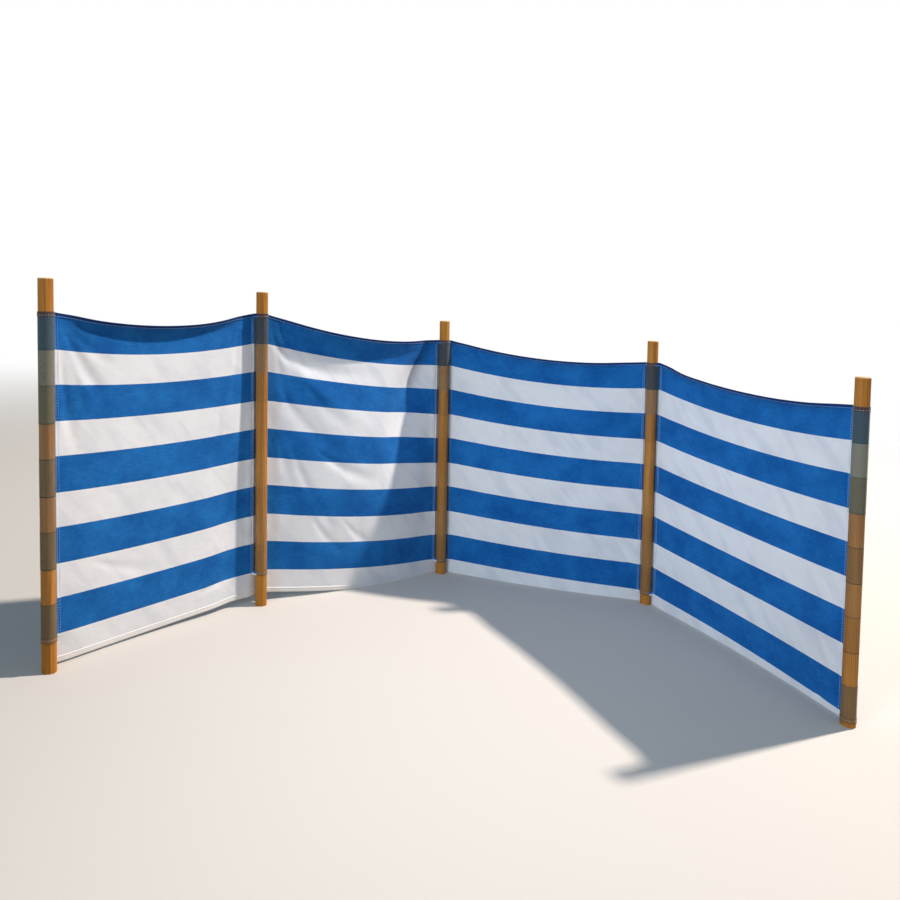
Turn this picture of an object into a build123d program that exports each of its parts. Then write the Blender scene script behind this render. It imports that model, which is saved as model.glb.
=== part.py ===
from build123d import *
import math
import os

# Beach windbreak: round wooden poles planted in an arc, with striped canvas stretched behind them.
# Each pole stands in a pocket sewn to the sheltered face of the canvas.
# The ground falls to the right, so the canvas falls too, and every pole reaches the lowest level.
# Origin: middle of the flat foot of the middle pole. +X is to the right seen from the sheltered
# side, +Y is out to the windward side, +Z is up. Sizes are in millimetres.

# Poles, from the left end to the right end
pole_dia = 48.0
pole_edge = 2.0
pole_head = [108.0, 88.5, 93.5, 100.5, 98.5]
middle_pole = 2

# Bays, from pole to pole: usual distance, each bay's share of it, and its compass line in plan, in
# degrees from +X
bay_width = 972.0
bay_share = [0.930, 1.005, 0.994, 1.069]
bay_heading = [48.9, 35.1, -10.5, -69.5]

# Canvas: height when hung, and how high its lower edge hangs above the pole feet at each pole
canvas_height = 1182.0
canvas_thickness = 2.0
hem_rise = [308.5, 297.0, 168.0, 84.5, 21.0]

# Slack in each bay: drop of the upper and lower edge, and belly towards the sheltered side
top_sag = [50.0, 47.0, 44.0, 51.0]
bottom_sag = [8.0, 6.0, 3.0, 3.0]
belly = [-16.0, 47.0, 32.0, -10.0]

# Folded hems along the upper and lower edges, turned to the windward side
hem_thickness = 4.0
top_hem_depth = 18.0
bottom_hem_depth = 22.0

# Pole pockets: room for the pole, cloth, where each is sewn down (those of the two end poles are
# the wider ones), and how far down they reach
pocket_clearance = 0.3
pocket_thickness = 1.2
pocket_reach = [38.0, 27.0, 27.0, 27.0, 38.0]
seam_width = [16.0, 12.0, 12.0, 12.0, 16.0]
pocket_length = 1090.0
pocket_hem_thickness = 2.0
pocket_hem_step = 2.0

# How far the shapes that cut others out reach past them
cutting_margin = 1.0

pole_radius = pole_dia / 2
pocket_radius = pole_radius + pocket_clearance
pocket_hem_depth = top_hem_depth - pocket_hem_step
seam_end = [reach + width for reach, width in zip(pocket_reach, seam_width)]
canvas_top = [rise + canvas_height for rise in hem_rise]
bay_span = [share * bay_width for share in bay_share]
bays = range(len(bay_span))
poles = range(len(bay_span) + 1)


def along(angle, length):
    """Level vector of a given compass line and length."""
    return Vector(length * math.cos(math.radians(angle)), length * math.sin(math.radians(angle)))


def pole_centres():
    """Plan positions of the poles, with the middle pole at the origin."""
    centres = [Vector(0, 0)]
    for span, heading in zip(bay_span, bay_heading):
        centres.append(centres[-1] + along(heading, span))
    return [centre - centres[middle_pole] for centre in centres]


centres = pole_centres()


def bay_location(bay):
    """Plan frame of a bay: x runs from its left pole to its right pole, y points to windward."""
    return Location(centres[bay], (0, 0, bay_heading[bay]))


def corner_turn(bay, right_end):
    """Half the angle that the canvas turns round the pole at one end of a bay."""
    neighbour = bay + 1 if right_end else bay - 1
    if neighbour not in bays:
        return 0.0
    return abs(bay_heading[neighbour] - bay_heading[bay]) / 2


def pole_wrap(turn, depth, right_end):
    """Cloth that bends round the back of a pole, from the bay's own line to the corner's middle."""
    ring = Circle(pocket_radius + depth) - Circle(pocket_radius)
    far = 2 * (pocket_radius + depth)
    side = 1 if right_end else -1
    slip = far * math.tan(math.radians(turn))
    wedge = make_face(Polyline((0, 0), (0, far), (side * slip, far), close=True))
    return ring & wedge


def bowed_strip(bay, depth):
    """Plan of a bay's cloth between its seams, bellied by the wind or by slack."""
    start = seam_end[bay]
    end = bay_span[bay] - seam_end[bay + 1]
    middle = (start + end) / 2
    face = pocket_radius
    back = pocket_radius + depth
    outline = Line((start, back), (start, face))
    outline += ThreePointArc((start, face), (middle, face - belly[bay]), (end, face))
    outline += Line((end, face), (end, back))
    outline += ThreePointArc((end, back), (middle, back - belly[bay]), (start, back))
    return make_face(outline)


def canvas_plan(bay, depth):
    """Whole plan of a bay's cloth: flat where it is sewn, bowed between, wrapped at both poles."""
    span = bay_span[bay]
    plan = bowed_strip(bay, depth)
    for right_end in (False, True):
        flat = seam_end[bay + 1 if right_end else bay]
        middle = span - flat / 2 if right_end else flat / 2
        plan += Pos(middle, pocket_radius + depth / 2) * Rectangle(flat, depth)
        turn = corner_turn(bay, right_end)
        if turn > 0:
            plan += Pos(span if right_end else 0, 0) * pole_wrap(turn, depth, right_end)
    return bay_location(bay) * plan


def edge_line(bay, rise, sag):
    """Front view of one level line of the canvas: level at the poles, hanging between the seams."""
    span = bay_span[bay]
    start = seam_end[bay]
    end = span - seam_end[bay + 1]
    left = hem_rise[bay] + rise
    right = hem_rise[bay + 1] + rise
    past = pocket_radius + hem_thickness + cutting_margin
    line = Line((-past, left), (start, left))
    line += ThreePointArc((start, left), ((start + end) / 2, (left + right) / 2 - sag), (end, right))
    line += Line((end, right), (span + past, right))
    return line


def front_slab(bay, upper, lower):
    """Everything in a bay between two of its level lines, thick enough to cut the cloth with."""
    top = edge_line(bay, *upper)
    bottom = edge_line(bay, *lower)
    sides = Line(top @ 0, bottom @ 0) + Line(top @ 1, bottom @ 1)
    reach = pole_dia + abs(belly[bay]) + hem_thickness
    front = Plane(origin=centres[bay], x_dir=along(bay_heading[bay], 1), z_dir=along(bay_heading[bay] - 90, 1))
    return extrude(front * make_face(top + bottom + sides), amount=reach, both=True)


def cloth(bay, depth, upper, lower):
    """A bay's cloth of one thickness, between two of its level lines."""
    tall = max(canvas_top) + cutting_margin
    return extrude(canvas_plan(bay, depth), amount=tall) & front_slab(bay, upper, lower)


def teardrop(radius, tip):
    """Circle drawn out to a tip along its two tangents."""
    swing = math.degrees(math.acos(radius / tip.length))
    heading = math.degrees(math.atan2(tip.Y, tip.X))
    touch = along(heading + swing, radius)
    other = along(heading - swing, radius)
    return Circle(radius) + make_face(Polyline(touch, tip, other, close=True))


def pocket_side(pole, bay, thickness):
    """Outside, hollow and sewn edge of the part of a pocket that faces one bay, about its pole."""
    side = 1 if bay == pole else -1
    reach = pocket_reach[pole]
    width = seam_width[pole]
    slope = 2 * math.atan2(pocket_radius, reach)
    toe = reach + thickness / math.sin(slope)
    outside = teardrop(pocket_radius + thickness, Vector(side * toe, pocket_radius))
    hollow = teardrop(pocket_radius, Vector(side * reach, pocket_radius))
    sewn = Pos(side * (reach + width / 2), pocket_radius - thickness / 2)
    turn = Rot(0, 0, bay_heading[bay])
    return turn * outside, turn * hollow, turn * sewn * Rectangle(width, thickness)


def pocket_plan(pole, thickness):
    """Plan of a pole pocket: cloth carried round the front of the pole and sewn down at its sides."""
    joining = [bay for bay in (pole - 1, pole) if bay in bays]
    sides = [pocket_side(pole, bay, thickness) for bay in joining]
    plan = sides[0][0]
    for outside, hollow, sewn in sides:
        plan += outside
    for outside, hollow, sewn in sides:
        plan -= hollow
    for outside, hollow, sewn in sides:
        plan += sewn
    plan = Pos(centres[pole]) * plan
    for bay in joining:
        plan -= canvas_plan(bay, pole_dia)
    return plan


def pocket_tube(pole, thickness, low, high):
    """Length of a pole pocket between two heights."""
    return extrude(Pos(0, 0, low) * pocket_plan(pole, thickness), amount=high - low)


def make_pole(pole):
    """Round pole with a sawn foot and an eased top edge."""
    height = canvas_top[pole] + pole_head[pole]
    dowel = extrude(Circle(pole_radius), amount=height)
    rim = dowel.edges().group_by(Axis.Z)[-1]
    return Pos(centres[pole]) * chamfer(rim, pole_edge)


parts = {}
for pole in poles:
    number = pole + 1
    top = canvas_top[pole]
    bottom = top - pocket_length
    hem = pocket_hem_depth
    parts[f"pole_{number}"] = make_pole(pole)
    parts[f"pocket_{number}"] = pocket_tube(pole, pocket_thickness, bottom + hem, top - hem)
    parts[f"pocket_top_hem_{number}"] = pocket_tube(pole, pocket_hem_thickness, top - hem, top)
    parts[f"pocket_bottom_hem_{number}"] = pocket_tube(pole, pocket_hem_thickness, bottom, bottom + hem)

for bay in bays:
    number = bay + 1
    top_edge = (canvas_height, top_sag[bay])
    top_fold = (canvas_height - top_hem_depth, top_sag[bay])
    bottom_fold = (bottom_hem_depth, bottom_sag[bay])
    bottom_edge = (0, bottom_sag[bay])
    parts[f"canvas_bay_{number}"] = cloth(bay, canvas_thickness, top_fold, bottom_fold)
    parts[f"top_hem_{number}"] = cloth(bay, hem_thickness, top_edge, top_fold)
    parts[f"bottom_hem_{number}"] = cloth(bay, hem_thickness, bottom_fold, bottom_edge)

os.makedirs("parts", exist_ok=True)
for name, shape in parts.items():
    export_step(shape, f"parts/{name}.step")
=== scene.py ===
import math

import bpy
import numpy as np
from mathutils import Matrix, Vector


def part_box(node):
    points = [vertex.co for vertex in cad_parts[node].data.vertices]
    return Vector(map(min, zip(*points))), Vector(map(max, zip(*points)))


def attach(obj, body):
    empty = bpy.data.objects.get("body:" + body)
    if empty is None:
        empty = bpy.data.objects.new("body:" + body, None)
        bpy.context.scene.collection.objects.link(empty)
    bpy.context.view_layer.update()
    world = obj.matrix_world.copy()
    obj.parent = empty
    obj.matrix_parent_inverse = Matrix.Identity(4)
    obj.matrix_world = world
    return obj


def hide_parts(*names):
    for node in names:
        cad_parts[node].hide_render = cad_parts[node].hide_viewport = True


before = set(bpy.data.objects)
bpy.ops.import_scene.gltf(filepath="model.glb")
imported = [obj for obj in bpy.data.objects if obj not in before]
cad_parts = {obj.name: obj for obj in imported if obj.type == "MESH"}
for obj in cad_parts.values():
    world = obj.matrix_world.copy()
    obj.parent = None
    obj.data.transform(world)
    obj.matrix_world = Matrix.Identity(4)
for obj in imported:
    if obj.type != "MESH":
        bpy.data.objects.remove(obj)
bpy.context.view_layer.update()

# Beach windbreak: striped canvas stretched behind five round poles, each in a sheer pocket that is
# sewn to the sheltered face of the canvas. Sizes are in metres, angles in degrees.

# Canvas: height when hung, thickness, and the folded hems along its edges
canvas_height = 1.182
cloth_thickness = 0.0012
top_hem_depth = 0.018
bottom_hem_depth = 0.022
hem_overlap = 0.002

# Depth of the darker navy along the upper edge, and of the stitches just past it
navy_edge_depth = 0.009
hem_row = 0.0115

# Stripes, counted down from the upper edge: each pair is a blue one and a white one
blue_stripe = 0.123
stripe_pair = 0.240

# Middle of the canvas's thickness, from the middle of the pole that it passes behind
canvas_offset = 0.0253

# Pole pockets: middle of their cloth from the middle of the pole
pocket_thickness = 0.0008
pocket_offset = 0.0249
pocket_hem_offset = 0.0253
pocket_hem_thickness = 0.0018
pocket_hem_depth = 0.016
pocket_length = 1.090

# Part of each pocket that is sewn to the canvas, from the pole's middle. Those of the two end poles
# are the wider ones.
flange_offset = 0.0242
flange_start = [0.038, 0.027, 0.027, 0.027, 0.038]
flange_end = [0.054, 0.039, 0.039, 0.039, 0.060]

# Stitches: their length, the distance from one to the next, the thread, its rings as shares of the
# length and of the radius, how deep it sinks in the cloth as a share of the radius, and the rows down
# a sewn part as shares of its width
stitch_length = 0.0065
stitch_pitch = 0.0100
thread_radius = 0.0007
stitch_rings = [(0.18, 0.85), (0.5, 1.0), (0.82, 0.85)]
stitch_sink = 0.35
seam_rows = [0.25, 0.75]

# Faces of a folded hem that stitches lie on, out of the middle of the canvas's thickness
hem_windward_face = 0.0025
hem_sheltered_face = -0.0009

# Size of the cloth's mesh cells: of the canvas, where it bends round a pole, of the pockets and of
# their hems. A fold's line is followed in steps, and a thread has six sides.
cell = 0.007
wrap_cell = 0.003
pocket_cell = 0.010
pocket_hem_cell = 0.004
fold_steps = 16
thread_sides = 6

# Height of the ground at each pole, above the level of the poles' feet
ground_height = [0.299, 0.266, 0.194, 0.137, 0.097]

# Shares of the canvas's height at which its level lines' drops are given, of its height at which its
# bellies are given, and of a bay's length at which the width of its leaning strip is given
sag_levels = [0.0, 0.30, 0.55, 0.75, 0.90, 1.0]
belly_levels = [0.0, 0.5, 1.0]
strip_places = [0.02, 0.10, 0.30, 0.50, 0.70, 0.85, 0.98]

# How each bay hangs. Its level lines drop in the middle by the sags, and it bellies towards the
# sheltered side. Above a crease its upper strip leans over to the sheltered side, by an angle that it
# takes up over a bend. A fold runs from its start through its middle to its end, each a distance from
# the left pole and a height, which may lie past the canvas's edges. Then come its half width and its
# depth, which is to windward where it is positive.
bay_shapes = [
    {
        "sags": [0.008, 0.0155, 0.0144, 0.0170, 0.0329, 0.0370],
        "belly": [-0.016, -0.016, -0.012],
        "strip": [0.0, 0.034, 0.056, 0.066, 0.058, 0.036, 0.0],
        "lean": 38,
        "bend": 0.010,
        "folds": [
            [(0.056, 1.150), (0.160, 0.990), (0.262, 0.848), 0.026, 0.0060],
            [(0.054, 1.120), (0.078, 0.860), (0.154, 0.630), 0.022, 0.0045],
            [(0.060, 1.155), (0.165, 1.075), (0.290, 0.995), 0.022, 0.0030],
            [(0.110, 1.000), (0.160, 0.900), (0.200, 0.780), 0.022, -0.0030],
            [(0.800, -0.600), (0.780, 0.260), (0.810, 1.060), 0.090, 0.0130],
            [(0.800, 1.130), (0.790, 0.960), (0.765, 0.760), 0.020, 0.0035],
            [(0.720, 0.820), (0.700, 0.640), (0.660, 0.480), 0.024, 0.0025],
            [(0.160, 0.330), (0.300, 0.270), (0.470, 0.230), 0.022, 0.0025],
            [(0.600, 0.085), (0.740, 0.110), (0.850, 0.180), 0.020, 0.0035],
        ],
    },
    {
        "sags": [0.006, 0.0092, 0.0071, 0.0117, 0.0283, 0.0350],
        "belly": [0.033, 0.048, 0.017],
        "strip": [0.0, 0.042, 0.104, 0.124, 0.098, 0.058, 0.010],
        "lean": 25,
        "bend": 0.016,
        "folds": [
            [(0.930, 1.160), (0.785, 0.860), (0.680, 0.340), 0.110, 0.0440],
            [(0.060, 1.130), (0.230, 0.990), (0.733, 1.030), 0.034, 0.0070],
            [(0.070, 1.070), (0.110, 0.900), (0.150, 0.700), 0.024, 0.0030],
            [(0.160, 1.020), (0.300, 0.860), (0.640, 0.660), 0.070, -0.0090],
            [(0.100, 0.900), (0.220, 0.720), (0.420, 0.620), 0.036, 0.0045],
            [(0.200, 0.930), (0.330, 0.800), (0.560, 0.700), 0.034, 0.0045],
            [(0.080, 0.700), (0.130, 0.520), (0.180, 0.380), 0.024, 0.0025],
            [(0.150, 0.640), (0.230, 0.450), (0.400, 0.200), 0.028, 0.0035],
            [(0.250, 0.640), (0.420, 0.540), (0.640, 0.500), 0.028, 0.0055],
            [(0.230, 0.360), (0.330, 0.230), (0.480, 0.150), 0.024, 0.0035],
            [(0.390, 0.330), (0.500, 0.230), (0.620, 0.190), 0.026, 0.0035],
            [(0.700, 0.250), (0.840, 0.150), (0.930, 0.060), 0.018, 0.0040],
        ],
    },
    {
        "sags": [-0.002, 0.0035, 0.0100, 0.0191, 0.0317, 0.0347],
        "belly": [0.020, 0.032, 0.009],
        "strip": [0.010, 0.035, 0.062, 0.070, 0.062, 0.040, 0.0],
        "lean": 30,
        "bend": 0.045,
        "folds": [
            [(0.054, 1.090), (0.120, 0.980), (0.190, 0.860), 0.015, 0.0050],
            [(0.210, 1.070), (0.310, 0.960), (0.390, 0.860), 0.016, 0.0060],
            [(0.340, 1.010), (0.440, 0.940), (0.540, 0.900), 0.016, 0.0030],
            [(0.060, 0.840), (0.150, 0.730), (0.240, 0.630), 0.016, 0.0045],
            [(0.180, 0.830), (0.250, 0.730), (0.310, 0.650), 0.014, 0.0025],
            [(0.260, 0.830), (0.340, 0.730), (0.430, 0.610), 0.016, 0.0050],
            [(0.054, 0.620), (0.100, 0.520), (0.150, 0.420), 0.014, 0.0040],
            [(0.140, 0.580), (0.220, 0.500), (0.310, 0.420), 0.016, 0.0035],
            [(0.290, 0.590), (0.370, 0.510), (0.450, 0.420), 0.016, 0.0045],
            [(0.430, 0.570), (0.470, 0.480), (0.640, 0.450), 0.016, 0.0030],
            [(0.070, 0.350), (0.150, 0.270), (0.260, 0.210), 0.016, 0.0040],
            [(0.260, 0.350), (0.350, 0.280), (0.430, 0.220), 0.016, 0.0045],
            [(0.420, 0.350), (0.470, 0.270), (0.530, 0.180), 0.016, 0.0050],
            [(0.700, 0.330), (0.780, 0.270), (0.860, 0.200), 0.016, 0.0045],
            [(0.800, 0.350), (0.870, 0.260), (0.930, 0.110), 0.015, 0.0055],
        ],
    },
    {
        "sags": [0.000, 0.0089, 0.0151, 0.0239, 0.0383, 0.0396],
        "belly": [-0.025, -0.008, -0.007],
        "strip": [0.010, 0.050, 0.060, 0.062, 0.060, 0.050, 0.010],
        "lean": 35,
        "bend": 0.045,
        "folds": [
            [(0.060, 1.090), (0.130, 0.980), (0.220, 0.900), 0.018, 0.0030],
            [(0.160, 1.060), (0.260, 0.990), (0.360, 0.960), 0.018, 0.0030],
            [(0.200, 0.180), (0.360, 0.150), (0.520, 0.160), 0.020, 0.0035],
            [(0.560, 0.150), (0.660, 0.130), (0.760, 0.140), 0.020, 0.0030],
            [(0.820, 0.170), (0.890, 0.110), (0.930, 0.060), 0.018, 0.0040],
            [(0.024, 0.120), (0.060, 0.160), (0.110, 0.230), 0.014, 0.0030],
        ],
    },
]

# Where the lines of a bay start and stop dropping, and where it starts and stops bellying, from the
# poles' middles, each with how gently. Beside a pocket's sewn part a fold fades in over a width.
drop_start = 0.012
drop_ease = 0.020
belly_start = 0.044
belly_ease = 0.070
fold_fade = 0.02


def pole_box(pole):
    """Lowest and highest corner of a pole, counted from 0 at the left end."""
    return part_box(f"pole_{pole + 1}")


poles = range(5)
bays = range(4)
pocket_foot = canvas_height - pocket_length
pole_axis = [np.add(*pole_box(pole))[:2] / 2 for pole in poles]
pole_top = [pole_box(pole)[1][2] for pole in poles]
canvas_top = [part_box(f"pocket_top_hem_{pole + 1}")[1][2] for pole in poles]
hem_rise = [top - canvas_height for top in canvas_top]
bay_line = [pole_axis[bay + 1] - pole_axis[bay] for bay in bays]
bay_span = [float(np.hypot(*line)) for line in bay_line]
bay_heading = [math.degrees(math.atan2(line[1], line[0])) for line in bay_line]


# Shapes of the cloth


def eased(distance, length, ease):
    """Rises from 0 to 1 over a length, starting and stopping gently."""

    def ramp(x):
        return np.clip(x, 0, ease) ** 2 / (2 * ease) + np.clip(x - ease, 0, None)

    return (ramp(distance) - ramp(distance - (length - ease))) / (length - ease)


def hanging(distance, length, ease):
    """0 at both ends of a length and 1 in its middle, as a slack edge hangs."""
    share = eased(distance, length, ease)
    return 4 * share * (1 - share)


def smooth_line(x, places, values):
    """Smooth line through the values that are given at some places, level beyond them."""
    places, values = np.array(places), np.array(values)
    slope = np.gradient(values, places)
    step = np.clip(np.searchsorted(places, x, side="right") - 1, 0, len(places) - 2)
    run = places[step + 1] - places[step]
    t = np.clip((x - places[step]) / run, 0, 1)
    before = (1 + 2 * t) * (1 - t) ** 2 * values[step] + t * (1 - t) ** 2 * run * slope[step]
    after = t ** 2 * (3 - 2 * t) * values[step + 1] - t ** 2 * (1 - t) * run * slope[step + 1]
    return before + after


def fold_depth(s, v, start, middle, end, half_width, depth):
    """Depth of one fold of the cloth, which fans out from its start and dies away at its end."""
    steps = np.linspace(0, 1, fold_steps + 1)[:, None]
    start, middle, end = (np.array(point) for point in (start, middle, end))
    bend = 2 * middle - (start + end) / 2
    line = (1 - steps) ** 2 * start + 2 * steps * (1 - steps) * bend + steps ** 2 * end
    nearest = np.full(s.shape, np.inf)
    along = np.zeros(s.shape)
    for step in range(fold_steps):
        (from_s, from_v), (run_s, run_v) = line[step], line[step + 1] - line[step]
        part = ((s - from_s) * run_s + (v - from_v) * run_v) / (run_s ** 2 + run_v ** 2)
        part = np.clip(part, 0, 1)
        away = np.hypot(s - from_s - part * run_s, v - from_v - part * run_v)
        closer = away < nearest
        nearest = np.where(closer, away, nearest)
        along = np.where(closer, (step + part) / fold_steps, along)
    width = half_width * (0.35 + 0.65 * eased(along, 0.6, 0.2))
    strength = eased(along + 0.1, 0.5, 0.2) * (1 - eased(along - 0.5, 0.5, 0.2))
    return depth * strength * np.exp(-((nearest / width) ** 2))


def leaning_strip(height, angle, bend):
    """What cloth that leans over above a crease loses in rise, its reach and its tilt.

    The height is above the crease, measured on the cloth."""
    angle = np.maximum(angle, 0.001)
    above = np.clip(height, 0, None)
    bent = np.clip(above, 0, bend)
    tilt = angle * bent / bend
    straight = above - bent
    radius = bend / angle
    rise = radius * np.sin(tilt) + straight * np.cos(angle)
    reach = radius * (1 - np.cos(tilt)) + straight * np.sin(angle)
    return above - rise, reach, tilt


def corner_turn(bay, right_end):
    """Half the angle that the canvas turns round the pole at one end of a bay, in radians."""
    neighbour = bay + 1 if right_end else bay - 1
    if neighbour not in bays:
        return 0.0
    return math.radians(abs(bay_heading[neighbour] - bay_heading[bay])) / 2


def in_object(bay, x, y, z):
    """Points of a bay's own frame, along it, out to windward and up, in the object's frame."""
    turn = math.radians(bay_heading[bay])
    across, forward = math.cos(turn), math.sin(turn)
    start_x, start_y = pole_axis[bay]
    return np.stack([start_x + across * x - forward * y, start_y + forward * x + across * y, z], -1)


def canvas_points(bay, s, v, lift=0.0):
    """Points of a bay's canvas: s along it from the left pole's axis, v up from the lower edge.

    The lift is out of the middle of its thickness, to windward."""
    s, v, lift = np.broadcast_arrays(s, v, lift)
    shape, span = bay_shapes[bay], bay_span[bay]
    share = v / canvas_height

    drop_length = span - 2 * drop_start
    fall = eased(s - drop_start, drop_length, drop_ease)
    level = hem_rise[bay] + (hem_rise[bay + 1] - hem_rise[bay]) * fall
    sag = smooth_line(share, sag_levels, shape["sags"])
    up = level + v - sag * hanging(s - drop_start, drop_length, drop_ease)

    slack = hanging(s - belly_start, span - 2 * belly_start, belly_ease)
    out = -smooth_line(share, belly_levels, shape["belly"]) * slack
    free = np.minimum(s - flange_end[bay], span - flange_end[bay + 1] - s)
    for fold in shape["folds"]:
        out = out + np.clip(free / fold_fade, 0, 1) * fold_depth(s, v, *fold)

    strip = smooth_line(s / span, strip_places, shape["strip"])
    angle = math.radians(shape["lean"]) * (1 - (1 - slack) ** 3)
    lost, reach, tilt = leaning_strip(v - canvas_height + strip, angle, shape["bend"])
    up = up - lost + lift * np.sin(tilt)
    lift = lift * np.cos(tilt)

    radius = canvas_offset + lift
    before = np.clip(-s, 0, None) / canvas_offset
    after = np.clip(s - span, 0, None) / canvas_offset
    x = np.clip(s, 0, span) + radius * (np.sin(after) - np.sin(before))
    y = radius * np.cos(before + after) + out - reach
    return in_object(bay, x, y, up)


def spaced(low, high, size):
    """Even steps between two values, of about one size."""
    return np.linspace(low, high, max(2, round((high - low) / size) + 1))


def bay_columns(bay, size):
    """Places along a bay's canvas, closer where it bends round the poles."""
    wraps = [corner_turn(bay, end) * canvas_offset for end in (False, True)]
    span = bay_span[bay]
    parts = [spaced(0, span, size)]
    if wraps[0] > 0:
        parts.insert(0, spaced(-wraps[0], 0, wrap_cell)[:-1])
    if wraps[1] > 0:
        parts.append(spaced(span, span + wraps[1], wrap_cell)[1:])
    return np.concatenate(parts)


def developed(bay, s):
    """Distance along the whole canvas from its left end, for places along one bay."""
    turned = sum(2 * corner_turn(earlier, True) * canvas_offset for earlier in range(bay))
    return sum(bay_span[:bay]) + turned + s


# Meshes


def unit(vectors):
    """Vectors of the same directions, each 1 long."""
    return vectors / np.linalg.norm(vectors, axis=-1, keepdims=True)


def new_object(name, vertices, faces, material, cloth=None):
    """A smooth piece from its vertices and faces.

    cloth gives each vertex a place along and up the cloth."""
    mesh = bpy.data.meshes.new(name)
    mesh.from_pydata([tuple(vertex) for vertex in vertices], [], faces)
    mesh.polygons.foreach_set("use_smooth", [True] * len(faces))
    if cloth is not None:
        corners = np.empty(len(mesh.loops), dtype=np.int32)
        mesh.loops.foreach_get("vertex_index", corners)
        mesh.uv_layers.new(name="cloth").data.foreach_set("uv", cloth[corners].ravel())
    mesh.materials.append(material)
    piece = bpy.data.objects.new(name, mesh)
    bpy.context.collection.objects.link(piece)
    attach(piece, "root")
    return piece


def cloth_sheet(name, points, cloth, thickness, material):
    """A sheet of cloth over a grid of points, with its two faces and its cut edges."""
    rows, columns = points.shape[:2]
    corner = np.arange(rows * columns).reshape(rows, columns)
    faces = np.stack([corner[:-1, :-1], corner[:-1, 1:], corner[1:, 1:], corner[1:, :-1]], -1)
    faces = faces.reshape(-1, 4).tolist()
    piece = new_object(name, points.reshape(-1, 3), faces, material, cloth.reshape(-1, 2))
    mark_open_edges(piece.data)
    skin = piece.modifiers.new("thickness", "SOLIDIFY")
    skin.thickness = thickness
    skin.offset = 0
    return piece


def mark_open_edges(mesh):
    """Keeps the cut edges of a sheet crisp beside its smooth faces."""
    used = np.zeros(len(mesh.edges), dtype=int)
    edge_of = np.empty(len(mesh.loops), dtype=np.int32)
    mesh.loops.foreach_get("edge_index", edge_of)
    np.add.at(used, edge_of, 1)
    for edge in np.flatnonzero(used == 1):
        mesh.edges[int(edge)].use_edge_sharp = True


def swept_band(name, sections, cloth, material):
    """A closed band through ringed sections, such as a folded hem, capped at both ends."""
    count, ring = sections.shape[:2]
    corner = np.arange(count * ring).reshape(count, ring)
    beside = np.roll(corner, -1, axis=1)
    faces = np.stack([corner[:-1], corner[1:], beside[1:], beside[:-1]], -1).reshape(-1, 4).tolist()
    faces += [corner[0].tolist(), corner[-1][::-1].tolist()]
    return new_object(name, sections.reshape(-1, 3), faces, material, cloth.reshape(-1, 2))


def stitching(name, runs, material):
    """Stitches of round thread that dip into the cloth at both ends.

    Each run holds the starts, the ends and the outward directions of its stitches."""
    starts, ends, outward = (np.concatenate(part) for part in zip(*runs))
    along = ends - starts
    across = unit(np.cross(along, outward))
    rings = []
    for share, size in stitch_rings:
        middle = starts + along * share + outward * thread_radius * (size - stitch_sink)
        for turn in range(thread_sides):
            angle = 2 * math.pi * turn / thread_sides
            spoke = across * math.cos(angle) + outward * math.sin(angle)
            rings.append(middle + spoke * thread_radius * size)
    tips = [starts - outward * thread_radius, ends - outward * thread_radius]
    points = np.stack(tips + rings, axis=1)
    faces = []
    for stitch in range(len(starts)):
        start_tip = stitch * points.shape[1]
        end_tip = start_tip + 1
        for turn in range(thread_sides):
            here = start_tip + 2 + turn
            there = start_tip + 2 + (turn + 1) % thread_sides
            faces.append([start_tip, there, here])
            for ring in range(len(stitch_rings) - 1):
                faces.append([here, there, there + thread_sides, here + thread_sides])
                here += thread_sides
                there += thread_sides
            faces.append([here, there, end_tip])
    return new_object(name, points.reshape(-1, 3), faces, material)


# Materials


class Value:
    """A node's output. Sums with it add their nodes to the same finish."""

    def __init__(self, finish, socket):
        self.finish = finish
        self.socket = socket

    def maths(self, operation, *terms):
        return self.finish.node("ShaderNodeMath", {"operation": operation}, dict(enumerate(terms)))

    def __add__(self, other):
        return self.maths("ADD", self, other)

    __radd__ = __add__

    def __sub__(self, other):
        return self.maths("SUBTRACT", self, other)

    def __rsub__(self, other):
        return self.maths("SUBTRACT", other, self)

    def __mul__(self, other):
        return self.maths("MULTIPLY", self, other)

    def __truediv__(self, other):
        return self.maths("DIVIDE", self, other)

    def __mod__(self, other):
        return self.maths("FLOORED_MODULO", self, other)

    def __lt__(self, other):
        return self.maths("LESS_THAN", self, other)

    def __gt__(self, other):
        return self.maths("GREATER_THAN", self, other)

    def __or__(self, other):
        return self.maths("MAXIMUM", self, other)

    def __abs__(self):
        return self.maths("ABSOLUTE", self)

    def sine(self):
        return self.maths("SINE", self)

    def root(self):
        return self.maths("SQRT", self)

    def output(self, name):
        """Another output of the same node."""
        return Value(self.finish, self.socket.node.outputs[name])


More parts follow.
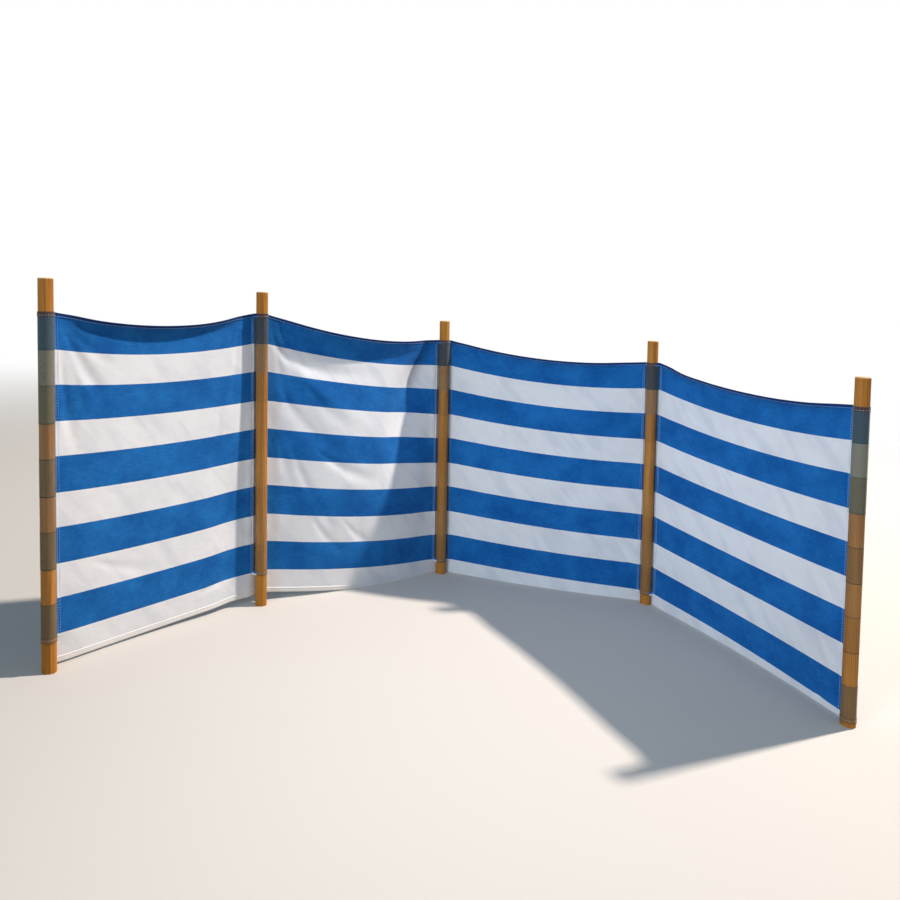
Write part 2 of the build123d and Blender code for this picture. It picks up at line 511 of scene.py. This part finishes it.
class Finish:
    """The nodes of one material, or of the surroundings."""

    def __init__(self, holder):
        holder.use_nodes = True
        self.holder = holder
        self.nodes = holder.node_tree.nodes
        self.links = holder.node_tree.links
        self.nodes.clear()

    def node(self, kind, settings=None, inputs=None, output=0):
        """A node's output, after its settings are made and its sockets are given values or links."""
        node = self.nodes.new(kind)
        for key, value in (settings or {}).items():
            if key == "stops":
                self.set_stops(node.color_ramp, value)
            else:
                setattr(node, key, value)
        for key, value in (inputs or {}).items():
            if isinstance(value, Value):
                self.links.new(value.socket, node.inputs[key])
            else:
                node.inputs[key].default_value = value
        return Value(self, node.outputs[output]) if node.outputs else None

    def set_stops(self, ramp, stops):
        """Steps of colour, each from its place up to the next one's."""
        ramp.interpolation = "CONSTANT"
        for index, (place, colour) in enumerate(stops):
            stop = ramp.elements[index] if index < 2 else ramp.elements.new(place)
            stop.position = place
            stop.color = colour

    def place_on_cloth(self):
        """Place along and up the cloth."""
        return self.node("ShaderNodeUVMap", {"uv_map": "cloth"})

    def place_in_object(self):
        """Place in the frame of the whole object."""
        return self.node("ShaderNodeTexCoord", {}, {}, "Object")

    def mix(self, factor, first, second):
        """A colour between two others."""
        return self.node("ShaderNodeMix", {"data_type": "RGBA"}, {0: factor, 6: first, 7: second}, 2)

    def between(self, value, low, high):
        """0 below one level of a value and 1 above another, with a soft change between them."""
        inputs = {"Value": value, "From Min": low, "From Max": high}
        return self.node("ShaderNodeMapRange", {"interpolation_type": "SMOOTHSTEP"}, inputs)

    def noise(self, place, scale, detail=2.0, roughness=0.5):
        """Cloudy variation about 0.5."""
        inputs = {"Vector": place, "Scale": scale, "Detail": detail, "Roughness": roughness}
        return self.node("ShaderNodeTexNoise", {}, inputs)

    def stretched(self, place, x, y, z=1.0):
        """A place with its axes scaled, for grain that runs one way."""
        return self.node("ShaderNodeVectorMath", {"operation": "MULTIPLY"}, {0: place, 1: (x, y, z)})

    def split(self, place):
        """The three parts of a place."""
        first = self.node("ShaderNodeSeparateXYZ", {}, {0: place})
        return first, first.output("Y"), first.output("Z")

    def bump(self, height, distance, strength=1.0, normal=None):
        """A surface normal raised and lowered by a height from 0 to 1."""
        inputs = {"Strength": strength, "Distance": distance, "Height": height}
        if normal is not None:
            inputs["Normal"] = normal
        return self.node("ShaderNodeBump", {}, inputs)

    def surface(self, inputs):
        """Ends the material in one shader."""
        shader = self.node("ShaderNodeBsdfPrincipled", {}, inputs)
        self.node("ShaderNodeOutputMaterial", {}, {"Surface": shader})
        return self.holder


def new_finish(name):
    """A new material's finish, with no nodes yet."""
    return Finish(bpy.data.materials.new(name))


plain_white = (1.0, 1.0, 1.0, 1.0)

# Canvas: its colours, among them a bluish grey for painted shade along its creases, the distance between
# its threads, and how far a stripe's edge wanders
cloth_blue = (0.013, 0.163, 0.490, 1.0)
deep_blue = (0.003, 0.086, 0.325, 1.0)
navy_edge_blue = (0.006, 0.030, 0.130, 1.0)
cloth_white = (0.80, 0.815, 0.85, 1.0)
shade_white = (0.70, 0.72, 0.77, 1.0)
# Bluish grey of the painted shade along the canvas's creases
painted_crease_shade = (0.54, 0.58, 0.67, 1.0)
hem_white = (0.82, 0.79, 0.75, 1.0)
thread_pitch = 0.0011
edge_wander = 0.0012


def weave(finish, place):
    """Height of the crossing threads and of the thicker ones among them, at a place on the cloth."""
    along, up, _ = finish.split(place)
    turns = math.pi / thread_pitch
    crossing = (along * turns).sine() * (up * turns).sine() * 0.5 + 0.5
    slubs = finish.noise(finish.stretched(place, 14, 300), 1.0, 3.0, 0.7)
    return crossing, slubs


def dyed_blue(finish, place, slubs):
    """Royal blue, paler along its thicker threads and where the sun has faded it."""
    fading = finish.noise(place, 7.0, 4.0, 0.65)
    streaks = finish.noise(finish.stretched(place, 60, 130), 1.0, 3.0, 0.6)
    share = finish.between(slubs * 0.20 + streaks * 0.25 + fading * 0.55, 0.34, 0.66)
    return finish.mix(share, deep_blue, cloth_blue)


def crease_shade_share(finish, place):
    """Share of painted shade: 1 along soft creases that run down from left to right, 0 between them."""
    along, up, _ = finish.split(place)
    slanting = {0: (along * 0.77 + up * 0.64) * 15, 1: (along * 0.64 - up * 0.77) * 3.5}
    slanting = finish.node("ShaderNodeCombineXYZ", {}, slanting)
    return finish.between(finish.noise(slanting, 1.0, 2.0, 0.5), 0.47, 0.70)


def natural_white(finish, place, slubs):
    """Off-white cotton, a little greyer in its thinner places, with painted shade along its creases."""
    clouds = finish.noise(place, 7.0, 3.0, 0.6)
    share = finish.between(slubs * 0.4 + clouds * 0.6, 0.25, 0.65)
    white = finish.mix(share, shade_white, cloth_white)
    # Painted shade: grey mixed in along diagonal creases, standing in for the shading of folds
    return finish.mix(crease_shade_share(finish, place) * 0.40, white, painted_crease_shade)


def striped(finish, place, slubs):
    """Level stripes in turn, blue along the upper edge. Their edges wander by a thread."""
    _, up, _ = finish.split(place)
    wander = (finish.noise(finish.stretched(place, 60, 60), 1.0) - 0.5) * edge_wander
    blue = ((canvas_height - up + wander) % stripe_pair) < blue_stripe
    return finish.mix(blue, natural_white(finish, place, slubs), dyed_blue(finish, place, slubs))


def navy_edged_blue(finish, place, slubs):
    """Blue cloth, darker navy along its folded upper edge."""
    _, up, _ = finish.split(place)
    # Darker navy over the top of the folded upper edge
    near_upper_edge = up > canvas_height - navy_edge_depth
    return finish.mix(near_upper_edge, dyed_blue(finish, place, slubs), navy_edge_blue)


def doubled_white(finish, place, slubs):
    """White cloth turned over, a little warmer than the rest of the canvas."""
    return finish.mix(0.5, natural_white(finish, place, slubs), hem_white)


def canvas_finish(name, colouring):
    """Woven cotton canvas. colouring gives the colour from the finish, the place and the slubs."""
    finish = new_finish(name)
    place = finish.place_on_cloth()
    crossing, slubs = weave(finish, place)
    colour = colouring(finish, place, slubs)
    creases = finish.noise(place, 26.0, 3.0, 0.55)
    normal = finish.bump(creases, 0.0022, 0.5)
    normal = finish.bump(slubs, 0.0005, 0.6, normal)
    normal = finish.bump(crossing, 0.00025, 0.7, normal)
    return finish.surface({
        "Base Color": colour,
        "Roughness": 0.92 - slubs * 0.10,
        "Normal": normal,
        "Specular IOR Level": 0.12,
        "Sheen Weight": 0.03,
        "Sheen Roughness": 0.5,
    })


striped_canvas = canvas_finish("striped_canvas", striped)
blue_canvas = canvas_finish("blue_canvas", navy_edged_blue)
white_canvas = canvas_finish("white_canvas", doubled_white)

# Tint of the pocket cloth over a pole, and how much of the pole it hides, down its nine stripes
slate = (0.055, 0.090, 0.115)
pale_veil = (0.240, 0.240, 0.195)
dusk = (0.180, 0.175, 0.125)
left_cover = [0.88, 0.56, 0.54, 0.26, 0.40, 0.26, 0.40, 0.12, 0.40]
right_cover = [0.92, 0.74, 0.60, 0.22, 0.30, 0.20, 0.20, 0.12, 0.34]
# Middle poles: the cloth's cover, which rises again towards the foot as painted shade near the ground
middle_cover_and_shade = [0.50, 0.27, 0.17, 0.12, 0.12, 0.14, 0.18, 0.20, 0.24]

# Rings round a pole where the stripes end: how plainly they show, their half width and their colour,
# and a margin, wider than a ring, that lets one at the start of a pair reach to both sides of it
end_ring = 0.15
middle_ring = 0.03
ring_half_width = 0.0016
ring_colour = (0.03, 0.035, 0.04, 1.0)
ring_margin = 0.010

# Turned edges of the pockets against the wood
mouth_brown = (0.085, 0.055, 0.050, 1.0)
foot_brown = (0.240, 0.120, 0.040, 1.0)

# Where a pocket's cloth starts to lie on the pole, from its sewn edge, and how gently. The edging of
# the middle pockets starts farther in.
end_pocket_side = 0.049
middle_pocket_side = 0.016
middle_edging_side = 0.036
side_blur = 0.003


def pocket_place(finish, side):
    """Place on a pocket's cloth, its height, and 1 where it lies on the pole."""
    place = finish.place_on_cloth()
    across, up, _ = finish.split(place)
    return place, up, finish.between(across, side - side_blur, side + side_blur)


def pocket_surface(finish, colour, crossing, slubs, alpha=1.0):
    """Ends the material of a pocket's cloth, which is soft and slightly downy."""
    return finish.surface({
        "Base Color": colour,
        "Roughness": 0.9 - slubs * 0.1,
        "Alpha": alpha,
        "Normal": finish.bump(crossing, 0.0002, 0.6),
        "Specular IOR Level": 0.15,
        "Sheen Weight": 0.6,
        "Sheen Roughness": 0.35,
    })


def pocket_finish(name, cover, side, ring):
    """Thin pocket cloth, which the pole shows through where it lies on the pole.

    Beside the pole it is as the canvas."""
    finish = new_finish(name)
    place, up, on_pole = pocket_place(finish, side)
    crossing, slubs = weave(finish, place)
    down = canvas_height - up
    stops = []
    for stripe, hidden in enumerate(cover):
        start = stripe // 2 * stripe_pair + stripe % 2 * blue_stripe
        tint = slate if stripe == 0 else dusk if stripe % 2 == 0 else pale_veil
        stops.append((start / canvas_height, (*tint, hidden)))
    ramp = finish.node("ShaderNodeValToRGB", {"stops": stops}, {0: down / canvas_height})
    edge = abs((down % stripe_pair) - blue_stripe) < ring_half_width
    edge = edge | (abs((down + ring_margin) % stripe_pair - ring_margin) < ring_half_width)
    hidden = ramp.output("Alpha") + edge * ring + (slubs - 0.5) * 0.05
    tint = finish.mix(edge * (4 * ring), ramp, ring_colour)
    colour = finish.mix(on_pole, striped(finish, place, slubs), tint)
    alpha = 1 - on_pole * (1 - finish.between(hidden, 0.0, 1.0))
    return pocket_surface(finish, colour, crossing, slubs, alpha)


def pocket_edging_finish(name, side):
    """Turned edge of a pocket: brown against the wood, and beside it as the canvas."""
    finish = new_finish(name)
    place, up, on_pole = pocket_place(finish, side)
    crossing, slubs = weave(finish, place)
    # Darker navy along the upper edge beside the pole
    near_upper_edge = up > canvas_height - navy_edge_depth
    beside = finish.mix(near_upper_edge, striped(finish, place, slubs), navy_edge_blue)
    on_wood = finish.mix(up < canvas_height / 2, mouth_brown, foot_brown)
    return pocket_surface(finish, finish.mix(on_pole, beside, on_wood), crossing, slubs)


def thread_finish(name, dark, pale):
    """Twisted cotton thread."""
    finish = new_finish(name)
    twist = finish.noise(finish.stretched(finish.place_in_object(), 900, 900, 900), 1.0)
    return finish.surface({
        "Base Color": finish.mix(twist, dark, pale),
        "Roughness": 0.75 + twist * 0.2,
        "Normal": finish.bump(twist, 0.0002, 0.5),
    })


# Wood of the poles: its colours, the width of a year ring, the tree's heart from the middle of the pole,
# how far apart along the grain two neighbouring poles' wood is taken, and the depths below the top of the
# sawn end's colour and of the start and end of a paler rim
dark_grain = (0.28, 0.095, 0.010, 1.0)
honey = (0.56, 0.250, 0.046, 1.0)
pore_brown = (0.20, 0.075, 0.015, 1.0)
sawn_ring = (0.40, 0.205, 0.07, 1.0)
sawn_pale = (0.74, 0.50, 0.24, 1.0)
pale_rim_wood = (0.72, 0.50, 0.26, 1.0)
year_ring = 0.0042
heart_east = -0.009
heart_north = 0.006
grain_shift = 7.3
sawn_depth = 0.0008
rim_start = 0.003
rim_end = 0.0005


def wood_finish(pole):
    """Honey-coloured pole of turned softwood: long grain, rings on the sawn end, a paler rim just under
    the top.
    """
    finish = new_finish(f"pole_wood_{pole + 1}")
    place = finish.place_in_object()
    x, y = pole_axis[pole]
    shift = grain_shift * (pole + 1)
    own = finish.node("ShaderNodeVectorMath", {"operation": "SUBTRACT"}, {0: place, 1: (x, y, -shift)})
    east, north, up = finish.split(own)
    up = up - shift
    bend = finish.noise(finish.stretched(own, 8, 8, 1.6), 1.0) * 0.020
    east = east - heart_east + bend
    north = north - heart_north
    from_heart = (east * east + north * north).root()
    rings = (from_heart * (2 * math.pi / year_ring)).sine() * 0.5 + 0.5
    grain = finish.noise(finish.stretched(own, 210, 210, 3.5), 1.0, 4.0, 0.6)
    pores = finish.noise(finish.stretched(own, 900, 900, 22.0), 1.0, 2.0, 0.6)
    clouds = finish.noise(finish.stretched(own, 26, 26, 2.6), 1.0, 3.0, 0.5)
    tone = grain * 0.42 + rings * 0.14 + clouds * 0.44
    colour = finish.mix(finish.between(tone, 0.24, 0.76), dark_grain, honey)
    colour = finish.mix(finish.between(pores, 0.60, 0.78) * 0.16, colour, pore_brown)
    sawn = finish.mix(rings * 0.6 + grain * 0.3, sawn_ring, sawn_pale)
    top = pole_top[pole]
    end = up > top - sawn_depth
    colour = finish.mix(end, colour, sawn)
    # Paler rim just under the top of the pole
    rim_share = finish.between(up + grain * 0.004, top - rim_start, top - rim_end)
    colour = finish.mix(rim_share * (1 - end) * 0.6, colour, pale_rim_wood)
    return finish.surface({
        "Base Color": colour,
        "Roughness": 0.62 - grain * 0.16,
        "Normal": finish.bump(grain * 0.6 + pores * 0.4, 0.0006, 0.35),
        "Specular IOR Level": 0.18,
    })


# Floor: its colour as the camera sees it and as it throws light back at the object, and the distances
# from the middle pole between which it fades into white
floor_seen = (0.56, 0.535, 0.50, 1.0)
floor_thrown = (0.38, 0.32, 0.24, 1.0)
fade_start = 3.0
fade_end = 9.0


def floor_finish():
    """Plain pale ground that fades into the white around it."""
    finish = new_finish("pale_floor")
    level = finish.stretched(finish.place_in_object(), 1, 1, 0)
    far = finish.node("ShaderNodeVectorMath", {"operation": "LENGTH"}, {0: level}, "Value")
    camera = finish.node("ShaderNodeLightPath")
    pale = finish.mix(camera, floor_thrown, floor_seen)
    ground = {"Base Color": pale, "Roughness": 0.95, "Specular IOR Level": 0.1}
    plain = finish.node("ShaderNodeBsdfPrincipled", {}, ground)
    glow = finish.node("ShaderNodeEmission", {}, {"Color": plain_white, "Strength": 1.0})
    share = finish.between(far, fade_start, fade_end) * camera
    both = finish.node("ShaderNodeMixShader", {}, {0: share, 1: plain, 2: glow})
    finish.node("ShaderNodeOutputMaterial", {}, {"Surface": both})
    return finish.holder


pale_thread = thread_finish("pale_thread", (0.32, 0.44, 0.64, 1.0), (0.56, 0.66, 0.80, 1.0))
rose_thread = thread_finish("rose_thread", (0.28, 0.30, 0.42, 1.0), (0.48, 0.46, 0.56, 1.0))
grey_thread = thread_finish("grey_thread", (0.30, 0.28, 0.27, 1.0), (0.50, 0.47, 0.45, 1.0))
left_pocket = pocket_finish("left_pocket_cloth", left_cover, end_pocket_side, end_ring)
right_pocket = pocket_finish("right_pocket_cloth", right_cover, end_pocket_side, end_ring)
middle_pocket = pocket_finish("middle_pocket_cloth", middle_cover_and_shade, middle_pocket_side, middle_ring)
pocket_cloths = [left_pocket, middle_pocket, middle_pocket, middle_pocket, right_pocket]
end_edging = pocket_edging_finish("end_pocket_edging", end_pocket_side)
middle_edging = pocket_edging_finish("middle_pocket_edging", middle_edging_side)


# Pieces


def make_canvas(bay):
    """One bay of striped canvas, between its hems and from the middle of one pole to the next."""
    s = bay_columns(bay, cell)
    v = spaced(bottom_hem_depth - hem_overlap, canvas_height - top_hem_depth + hem_overlap, cell)
    s, v = np.meshgrid(s, v)
    points = canvas_points(bay, s, v)
    cloth = np.stack([developed(bay, s), v], -1)
    piece = cloth_sheet(f"striped_bay_{bay + 1}", points, cloth, cloth_thickness, striped_canvas)
    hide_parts(f"canvas_bay_{bay + 1}")
    return piece


# Profile of a folded hem: lift out of the canvas's middle, and share of the hem's depth
hem_profile = [
    (-0.0008, 0.0), (-0.0009, 0.3), (-0.0008, 0.7), (-0.0006, 0.9), (0.0001, 0.985), (0.0008, 1.0),
    (0.0017, 0.98), (0.0024, 0.88), (0.0025, 0.5), (0.0022, 0.1), (0.0014, 0.0),
]


def make_hem(bay, name, upper, material):
    """Hem turned to the windward side along one edge of a bay, rounded where it folds."""
    depth = top_hem_depth if upper else bottom_hem_depth
    lift = np.array([point[0] for point in hem_profile])
    rise = np.array([point[1] for point in hem_profile]) * depth
    v = canvas_height - depth + rise if upper else depth - rise
    s, v = np.meshgrid(bay_columns(bay, cell), v, indexing="ij")
    sections = canvas_points(bay, s, v, lift)
    cloth = np.stack([developed(bay, s), v], -1)
    if not upper:
        sections, cloth = sections[:, ::-1], cloth[:, ::-1]
    return swept_band(name, sections, cloth, material)


def level_stitches(bay, v, windward):
    """A level row of stitches on one face of a bay: starts, ends and outward directions."""
    side, lift = (1.0, hem_windward_face) if windward else (-1.0, hem_sheltered_face)
    s = np.arange(0.004, bay_span[bay] - 0.010, stitch_pitch)
    starts = canvas_points(bay, s, v, lift)
    ends = canvas_points(bay, s + stitch_length, v, lift)
    outward = (canvas_points(bay, s, v, lift + 0.001) - starts) * side
    return starts, ends, unit(outward)


def make_hem_stitching(bay, name, v, thread):
    """Stitches that hold down a hem of a bay, on both faces."""
    piece = stitching(name, [level_stitches(bay, v, windward) for windward in (False, True)], thread)
    return piece


def bay_turn(bay):
    """Turns plan points from a bay's own frame to the object's."""
    turn = math.radians(bay_heading[bay])
    across, forward = math.cos(turn), math.sin(turn)
    return np.array([[across, forward], [-forward, across]])


def joined_bays(pole):
    """The bays that meet at a pole, each with the side of the pole that it is on."""
    return [(bay, side) for bay, side in ((pole - 1, -1), (pole, 1)) if bay in bays]


def pocket_line(pole, offset, flange):
    """Plan of a pocket's cloth about its pole, from its left end to its right one."""
    start, end = flange_start[pole], flange_end[pole]
    swing = math.degrees(math.acos(offset / math.hypot(start, flange)))
    touch = swing - math.degrees(math.atan2(flange, start))
    sewn = [
        (start - 0.0008, flange - 0.0016),
        (start + 0.001, flange),
        ((end + start) / 2, flange),
        (end, flange),
    ]
    points = []
    if pole - 1 in bays:
        points.append(np.array([(-x, y) for x, y in sewn[::-1]]) @ bay_turn(pole - 1))
        first = 180 + touch + bay_heading[pole - 1]
    else:
        first = 90 + bay_heading[pole]
    if pole in bays:
        last = 360 - touch + bay_heading[pole]
    else:
        last = 450 + bay_heading[pole - 1]
    angles = np.radians(np.linspace(first, last, max(12, int((last - first) / 6))))
    points.append(offset * np.stack([np.cos(angles), np.sin(angles)], -1))
    if pole in bays:
        points.append(np.array(sewn) @ bay_turn(pole))
    return np.concatenate(points)


def pocket_points(pole, line, up):
    """Points of a pocket on its plan line, at heights above the lower edge of the canvas.

    It is level round the pole, and goes along with the canvas where it is sewn to it."""
    points = np.empty((len(up), len(line), 3))
    points[..., :2] = line + pole_axis[pole]
    points[..., 2] = hem_rise[pole] + up[:, None]
    for bay, side in joined_bays(pole):
        reach = (line @ bay_turn(bay).T)[:, 0] * side
        sewn = reach > flange_start[pole] - 0.001
        s = reach[sewn] if side > 0 else bay_span[bay] - reach[sewn]
        points[:, sewn, 2] = canvas_points(bay, s, up[:, None])[..., 2]
    return points


def line_distances(line):
    """Distance of each point of a line from the line's start."""
    return np.concatenate([[0], np.cumsum(np.hypot(*np.diff(line, axis=0).T))])


def upright_cloth(name, pole, line, up, thickness, material):
    """Cloth that stands on a plan line about a pole, at heights above the canvas's lower edge."""
    points = pocket_points(pole, line, up)
    from_left = line_distances(line)
    from_right = from_left[-1] - from_left
    if pole == poles[0]:
        from_seam = from_right
    elif pole == poles[-1]:
        from_seam = from_left
    else:
        from_seam = np.minimum(from_left, from_right)
    cloth = np.stack(np.meshgrid(from_seam, up), -1)
    piece = cloth_sheet(name, points, cloth, thickness, material)
    return piece


def make_pocket(pole):
    """Sheer cloth round the front of one pole."""
    up = spaced(pocket_foot + pocket_hem_depth, canvas_height - pocket_hem_depth, pocket_cell)
    line = pocket_line(pole, pocket_offset, flange_offset)
    name = f"pole_pocket_{pole + 1}"
    piece = upright_cloth(name, pole, line, up, pocket_thickness, pocket_cloths[pole])
    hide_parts(f"pocket_{pole + 1}")
    return piece


def make_pocket_hem(pole, name, node, low):
    """Turned hem at the mouth or the foot of a pocket."""
    line = pocket_line(pole, pocket_hem_offset, flange_offset - 0.0004)
    up = spaced(low, low + pocket_hem_depth, pocket_hem_cell)
    material = end_edging if pole in (poles[0], poles[-1]) else middle_edging
    piece = upright_cloth(name, pole, line, up, pocket_hem_thickness, material)
    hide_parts(node)
    return piece


def upright_stitches(pole, bay, side, row, windward):
    """A row of stitches up a pocket's sewn part, on one face of the canvas."""
    facing, lift = (1.0, 0.0007) if windward else (-1.0, flange_offset - canvas_offset - 0.0006)
    reach = flange_start[pole] + row * (flange_end[pole] - flange_start[pole])
    s = reach if side > 0 else bay_span[bay] - reach
    v = np.arange(pocket_foot + 0.004, canvas_height - 0.008, stitch_pitch)
    starts = canvas_points(bay, s, v, lift)
    outward = (canvas_points(bay, s, v, lift + 0.001) - starts) * facing
    ends = canvas_points(bay, s, v + stitch_length, lift)
    return starts, ends, unit(outward)


def mouth_stitches(pole, up):
    """A row of stitches round the outside of a pocket's hem."""
    line = pocket_line(pole, pocket_hem_offset + pocket_hem_thickness / 2, flange_offset - 0.0012)
    points = pocket_points(pole, line, np.array([up]))[0]
    reach = line_distances(line)
    starts = np.arange(0.006, reach[-1] - 0.012, stitch_pitch)

    def at(distance):
        return np.stack([np.interp(distance, reach, points[:, axis]) for axis in range(3)], -1)

    outward = (at(starts) - np.append(pole_axis[pole], 0.0)) * (1.0, 1.0, 0.0)
    return at(starts), at(starts + stitch_length), unit(outward)


def make_seam_stitching(pole):
    """Rows of stitches that hold a pocket to the canvas, and its hems."""
    runs = [mouth_stitches(pole, canvas_height - hem_row), mouth_stitches(pole, pocket_foot + hem_row)]
    for bay, side in joined_bays(pole):
        for row in seam_rows:
            for windward in (False, True):
                runs.append(upright_stitches(pole, bay, side, row, windward))
    piece = stitching(f"seam_stitching_{pole + 1}", runs, pale_thread)
    return piece


for pole in poles:
    wood = wood_finish(pole)
    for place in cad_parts[f"pole_{pole + 1}"].material_slots:
        place.material = wood

for bay in bays:
    number = bay + 1
    canvas = make_canvas(bay)
    upper = make_hem(bay, f"upper_hem_{number}", True, blue_canvas)
    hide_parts(f"top_hem_{number}")
    lower = make_hem(bay, f"lower_hem_{number}", False, white_canvas)
    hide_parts(f"bottom_hem_{number}")
    upper_row = make_hem_stitching(bay, f"upper_stitching_{number}", canvas_height - hem_row, rose_thread)
    lower_row = make_hem_stitching(bay, f"lower_stitching_{number}", bottom_hem_depth - 0.004, grey_thread)

for pole in poles:
    number = pole + 1
    pocket = make_pocket(pole)
    mouth_low = canvas_height - pocket_hem_depth
    mouth = make_pocket_hem(pole, f"pocket_mouth_{number}", f"pocket_top_hem_{number}", mouth_low)
    foot = make_pocket_hem(pole, f"pocket_foot_{number}", f"pocket_bottom_hem_{number}", pocket_foot)
    width = float(line_distances(pocket_line(pole, pocket_offset, flange_offset))[-1])
    make_seam_stitching(pole)


# Studio: half the floor's width, and the light from all around
floor_reach = 60.0
sky_colour = (0.72, 0.92, 1.12, 1.0)
sky_strength = 0.34

# Camera: its place, its lens and sensor in millimetres, its shift, and its angles down and sideways
camera_place = (-0.313, -3.727, 1.540)
camera_lens = 30.76
camera_sensor = 36.0
camera_shift = (0.0778, -0.1225)
camera_down = 2.95
camera_roll = 0.70


def make_floor():
    """Plain ground through the places where the poles enter it."""
    places = np.array([[*axis, 1.0] for axis in pole_axis])
    slope_x, slope_y, height = np.linalg.lstsq(places, np.array(ground_height), rcond=None)[0]
    half = floor_reach
    corners = [(-half, -half), (half, -half), (half, half), (-half, half)]
    points = [(x, y, slope_x * x + slope_y * y + height) for x, y in corners]
    mesh = bpy.data.meshes.new("floor")
    mesh.from_pydata(points, [], [(0, 1, 2, 3)])
    mesh.materials.append(floor_finish())
    floor = bpy.data.objects.new("floor", mesh)
    bpy.context.collection.objects.link(floor)


def make_world():
    """Surroundings that look white and light the object from all sides, slightly blue as a sky."""
    world = bpy.data.worlds.new("studio")
    bpy.context.scene.world = world
    around = Finish(world)
    seen = around.node("ShaderNodeBackground", {}, {"Color": plain_white, "Strength": 1.0})
    lit = around.node("ShaderNodeBackground", {}, {"Color": sky_colour, "Strength": sky_strength})
    path = around.node("ShaderNodeLightPath")
    reflected = path.output("Is Glossy Ray") | path.output("Is Transmission Ray")
    direct = path.output("Is Camera Ray") | reflected
    both = around.node("ShaderNodeMixShader", {}, {0: direct, 1: lit, 2: seen})
    around.node("ShaderNodeOutputWorld", {}, {"Surface": both})


def make_lamp(name, place, aim, width, power, colour, spread):
    """Square soft lamp that faces the object."""
    lamp = bpy.data.lights.new(name, "AREA")
    lamp.shape = "SQUARE"
    lamp.size = width
    lamp.spread = math.radians(spread)
    lamp.energy = power
    lamp.color = colour
    holder = bpy.data.objects.new(name, lamp)
    holder.location = place
    holder.rotation_euler = (Vector(place) - Vector(aim)).to_track_quat("Z", "Y").to_euler()
    bpy.context.collection.objects.link(holder)


def make_camera():
    """Camera on the sheltered side, 1.33 m above the floor."""
    lens_data = bpy.data.cameras.new("camera")
    lens_data.sensor_width = camera_sensor
    lens_data.lens = camera_lens
    lens_data.shift_x, lens_data.shift_y = camera_shift
    camera = bpy.data.objects.new("camera", lens_data)
    tilt = Matrix.Rotation(math.radians(90 - camera_down), 4, "X")
    roll = Matrix.Rotation(math.radians(camera_roll), 4, "Z")
    camera.matrix_world = Matrix.Translation(camera_place) @ tilt @ roll
    bpy.context.collection.objects.link(camera)
    bpy.context.scene.camera = camera


make_floor()
make_world()
make_lamp(
    "key", place=(7.9, 1.8, 9.5), aim=(0.0, -0.4, 0.7),
    width=0.45, power=2450.0, colour=(1.0, 0.89, 0.79), spread=180,
)
make_lamp(
    "fill", place=(-2.1, -3.85, 2.2), aim=(0.95, -0.45, 0.75),
    width=1.2, power=14.0, colour=(0.85, 0.96, 1.09), spread=58,
)
make_camera()

bpy.context.scene.view_settings.view_transform = "Standard"
